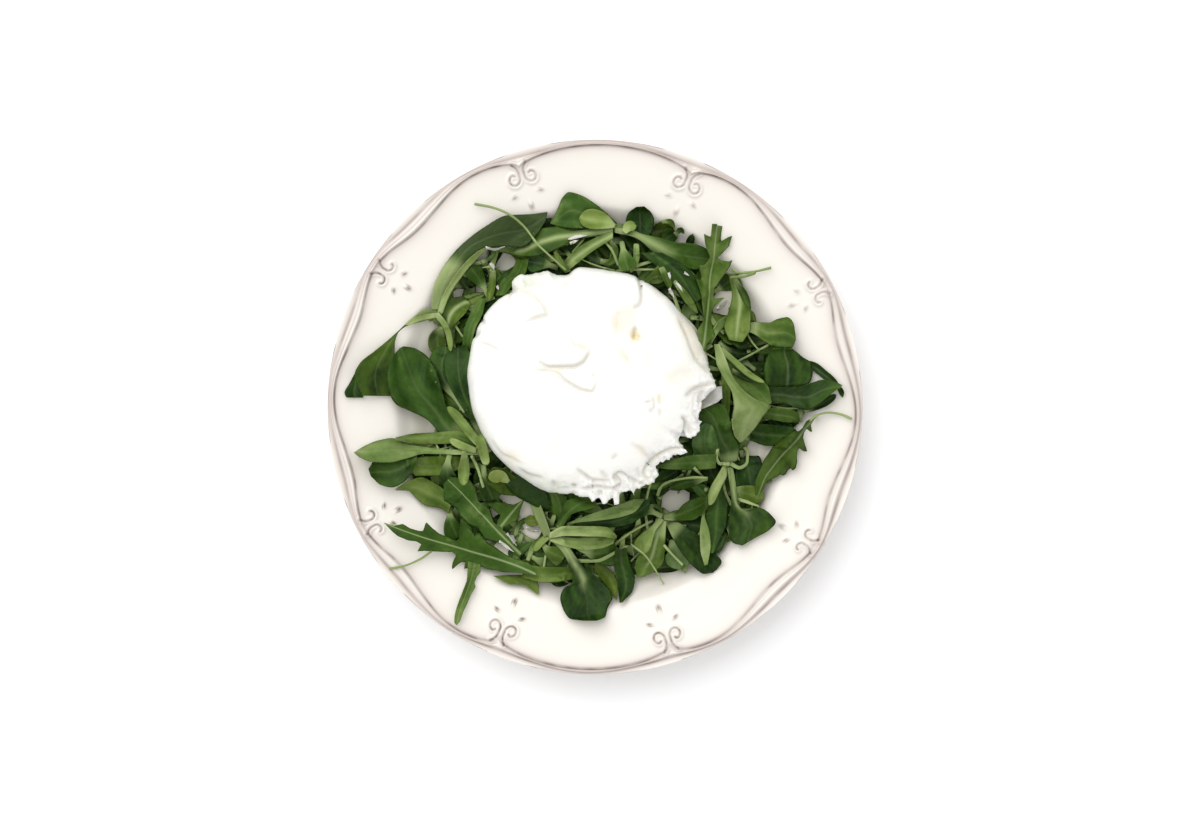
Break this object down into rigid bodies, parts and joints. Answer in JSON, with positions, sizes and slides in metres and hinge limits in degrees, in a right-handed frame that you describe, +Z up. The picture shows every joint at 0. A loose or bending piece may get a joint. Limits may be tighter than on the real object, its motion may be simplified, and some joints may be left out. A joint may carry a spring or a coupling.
{
  "type": "burrata",
  "caption": "Fresh burrata cheese with a torn frilled edge, sitting in a ring of lamb's lettuce and rocket leaves on a round glazed plate with a winding moulded rim.",
  "frame": {"origin": "centre of the plate's foot, on the surface that it stands on", "axes": "+Z up; +X to the right and +Y away from a diner who faces the plate"},
  "size_m": [0.24, 0.24, 0.05],
  "materials": {
    "glazed_stoneware": "glossy cream glaze with a brown wash in the recesses",
    "salad_leaf": "fresh green leaf with a soft sheen",
    "stretched_curd": "moist white curd"
  },
  "bodies": {
    "root": {"plate": "glazed_stoneware", "salad": "salad_leaf", "burrata": "stretched_curd"}
  },
  "joints": []
}
